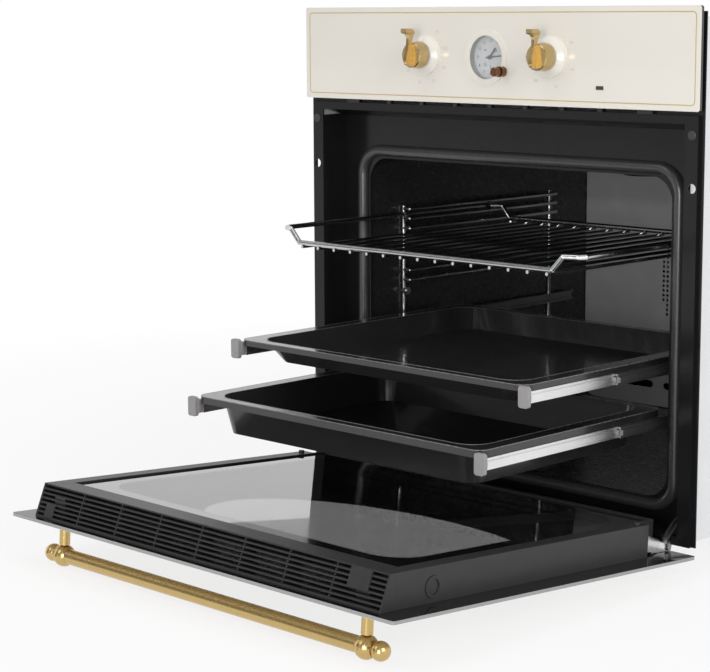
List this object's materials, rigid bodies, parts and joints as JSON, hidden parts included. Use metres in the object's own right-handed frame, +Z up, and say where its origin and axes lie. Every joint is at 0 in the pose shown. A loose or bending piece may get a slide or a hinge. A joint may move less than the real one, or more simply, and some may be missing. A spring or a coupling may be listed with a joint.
{
  "type": "built-in oven",
  "caption": "Built-in electric oven with a drop-down glass door, two trays on telescopic runners, a wire rack, two lever knobs and a round clock",
  "frame": {"origin": "middle of the underside of the casing, on the plane of the cabinet shelf that the oven stands on", "axes": "+X to the right as seen from the front, +Y backwards into the kitchen unit, +Z up"},
  "size_m": [0.595, 1.0261, 0.6177],
  "materials": {
    "ivory_glass": "gloss",
    "black_plastic": "matt",
    "black_enamel": "gloss",
    "cavity_enamel": "gloss",
    "seal_rubber": "satin",
    "grey_enamel": "satin",
    "heater_steel": "satin",
    "motor_metal": "satin",
    "lamp_glass": "gloss",
    "mineral_wool": "matt",
    "zinc_sheet": "satin",
    "clock_face": "matt",
    "clear_glass": "gloss",
    "ivory_trim": "gloss",
    "indicator_amber": "gloss",
    "chrome_wire": "gloss",
    "rail_dark": "satin",
    "hinge_steel": "satin",
    "bumper_rubber": "matt",
    "fan_steel": "satin",
    "gold_knob": "gloss",
    "hand_black": "matt",
    "copper_pin": "gloss",
    "rail_bright": "satin",
    "cap_grey": "satin",
    "tray_enamel": "satin",
    "dark_glass": "gloss",
    "anthracite": "satin",
    "button_black": "satin",
    "brushed_brass": "brushed"
  },
  "bodies": {
    "oven": {"control_panel": "ivory_glass", "panel_carrier": "black_plastic", "air_outlet_grille": "black_plastic", "front_frame": "black_enamel", "cavity_liner": "cavity_enamel", "door_seal": "seal_rubber", "fan_cover": "grey_enamel", "ring_heater": "heater_steel", "grill_heater": "heater_steel", "base_heater": "heater_steel", "fan_motor": "motor_metal", "lamp_housing": "motor_metal", "lamp_lens": "lamp_glass", "insulation": "mineral_wool", "base_tray": "zinc_sheet", "side_panels": "zinc_sheet", "top_cover": "zinc_sheet", "rear_panel": "zinc_sheet", "blower_housing": "zinc_sheet", "selector_switch": "black_plastic", "thermostat": "black_plastic", "clock_case": "black_plastic", "clock_dial": "clock_face", "clock_glass": "clear_glass", "clock_bezel": "ivory_trim", "indicator_lens": "indicator_amber", "knob_rings": "ivory_trim", "terminal_block": "black_plastic", "side_racks": "chrome_wire", "rack_nuts": "chrome_wire", "fixed_rails": "rail_dark", "hinge_cases": "hinge_steel", "door_bumpers": "bumper_rubber"},
    "door": {"door_outer_glass": "ivory_glass", "door_middle_glass": "dark_glass", "door_inner_glass": "dark_glass", "door_side_rails": "anthracite", "door_top_trim": "anthracite", "door_bottom_rail": "anthracite", "hinge_arms": "hinge_steel", "handle_bar": "brushed_brass", "handle_mounts": "brushed_brass"},
    "button_left": {"release_button_left": "button_black"},
    "button_right": {"release_button_right": "button_black"},
    "fan": {"convection_fan": "fan_steel"},
    "blower": {"blower_wheel": "fan_steel"},
    "selector": {"selector_knob": "gold_knob"},
    "thermostat_dial": {"thermostat_knob": "gold_knob"},
    "minute": {"minute_hand": "hand_black"},
    "hour": {"hour_hand": "hand_black"},
    "set_pin": {"clock_set_pin": "copper_pin"},
    "upper_mid": {"upper_mid_rails": "rail_dark"},
    "upper_runner": {"upper_rails": "rail_bright", "upper_rail_caps": "cap_grey"},
    "upper_pan": {"upper_tray": "tray_enamel"},
    "lower_mid": {"lower_mid_rails": "rail_dark"},
    "lower_runner": {"lower_rails": "rail_bright", "lower_rail_caps": "cap_grey"},
    "lower_pan": {"lower_tray": "tray_enamel"},
    "rack": {"wire_rack": "chrome_wire"}
  },
  "joints": [
    {"name": "door_hinge", "type": "hinge", "parent": "oven", "child": "door", "pos_m": [0, -0.277, -0.005], "axis": [-1, 0, 0], "range_deg": [0, 86]},
    {"name": "button_left_press", "type": "slide", "parent": "door", "child": "button_left", "axis": [1, 0, 0], "range_m": [0, 0.003], "stiffness_N_per_m": 300},
    {"name": "button_right_press", "type": "slide", "parent": "door", "child": "button_right", "axis": [-1, 0, 0], "range_m": [0, 0.003], "stiffness_N_per_m": 300},
    {"name": "fan_spin", "type": "hinge", "parent": "oven", "child": "fan", "pos_m": [0, 0.2205, 0.212], "axis": [0, 1, 0], "continuous": true},
    {"name": "blower_spin", "type": "hinge", "parent": "oven", "child": "blower", "pos_m": [0, 0.0155, 0.49189], "axis": [1, 0, 0], "continuous": true},
    {"name": "selector_turn", "type": "hinge", "parent": "oven", "child": "selector", "pos_m": [-0.095, -0.2925, 0.53], "axis": [0, 1, 0], "range_deg": [0, 315]},
    {"name": "thermostat_turn", "type": "hinge", "parent": "oven", "child": "thermostat_dial", "pos_m": [0.095, -0.2925, 0.53], "axis": [0, 1, 0], "range_deg": [0, 270]},
    {"name": "set_pin_turn", "type": "hinge", "parent": "oven", "child": "set_pin", "pos_m": [0.0265, -0.2925, 0.5125], "axis": [0, 1, 0], "continuous": true},
    {"name": "minute_turn", "type": "hinge", "parent": "oven", "child": "minute", "pos_m": [0, -0.2795, 0.5282], "axis": [0, 1, 0], "continuous": true},
    {"name": "hour_turn", "type": "hinge", "parent": "oven", "child": "hour", "pos_m": [0, -0.2779, 0.5282], "axis": [0, 1, 0], "continuous": true},
    {"name": "upper_mid_slide", "type": "slide", "parent": "oven", "child": "upper_mid", "axis": [0, 1, 0], "range_m": [0, 0.141]},
    {"name": "upper_runner_slide", "type": "slide", "parent": "upper_mid", "child": "upper_runner", "axis": [0, 1, 0], "range_m": [0, 0.141]},
    {"name": "upper_tray_lift", "type": "slide", "parent": "upper_runner", "child": "upper_pan", "axis": [0, 0, 1], "range_m": [0, 0.02]},
    {"name": "lower_mid_slide", "type": "slide", "parent": "oven", "child": "lower_mid", "axis": [0, 1, 0], "range_m": [0, 0.216]},
    {"name": "lower_runner_slide", "type": "slide", "parent": "lower_mid", "child": "lower_runner", "axis": [0, 1, 0], "range_m": [0, 0.216]},
    {"name": "lower_tray_lift", "type": "slide", "parent": "lower_runner", "child": "lower_pan", "axis": [0, 0, 1], "range_m": [0, 0.02]},
    {"name": "rack_slide", "type": "slide", "parent": "oven", "child": "rack", "axis": [0, 1, 0], "range_m": [0, 0.2]}
  ],
  "couplings": [
    {"joint": "minute_turn", "follows": "set_pin_turn", "ratio": 1},
    {"joint": "hour_turn", "follows": "set_pin_turn", "ratio": 0.083333},
    {"joint": "upper_mid_slide", "follows": "door_hinge", "m_per_rad": 0.0939},
    {"joint": "upper_runner_slide", "follows": "door_hinge", "m_per_rad": 0.0939},
    {"joint": "lower_mid_slide", "follows": "door_hinge", "m_per_rad": 0.1439},
    {"joint": "lower_runner_slide", "follows": "door_hinge", "m_per_rad": 0.1439},
    {"joint": "rack_slide", "follows": "door_hinge", "m_per_rad": 0.1332}
  ]
}
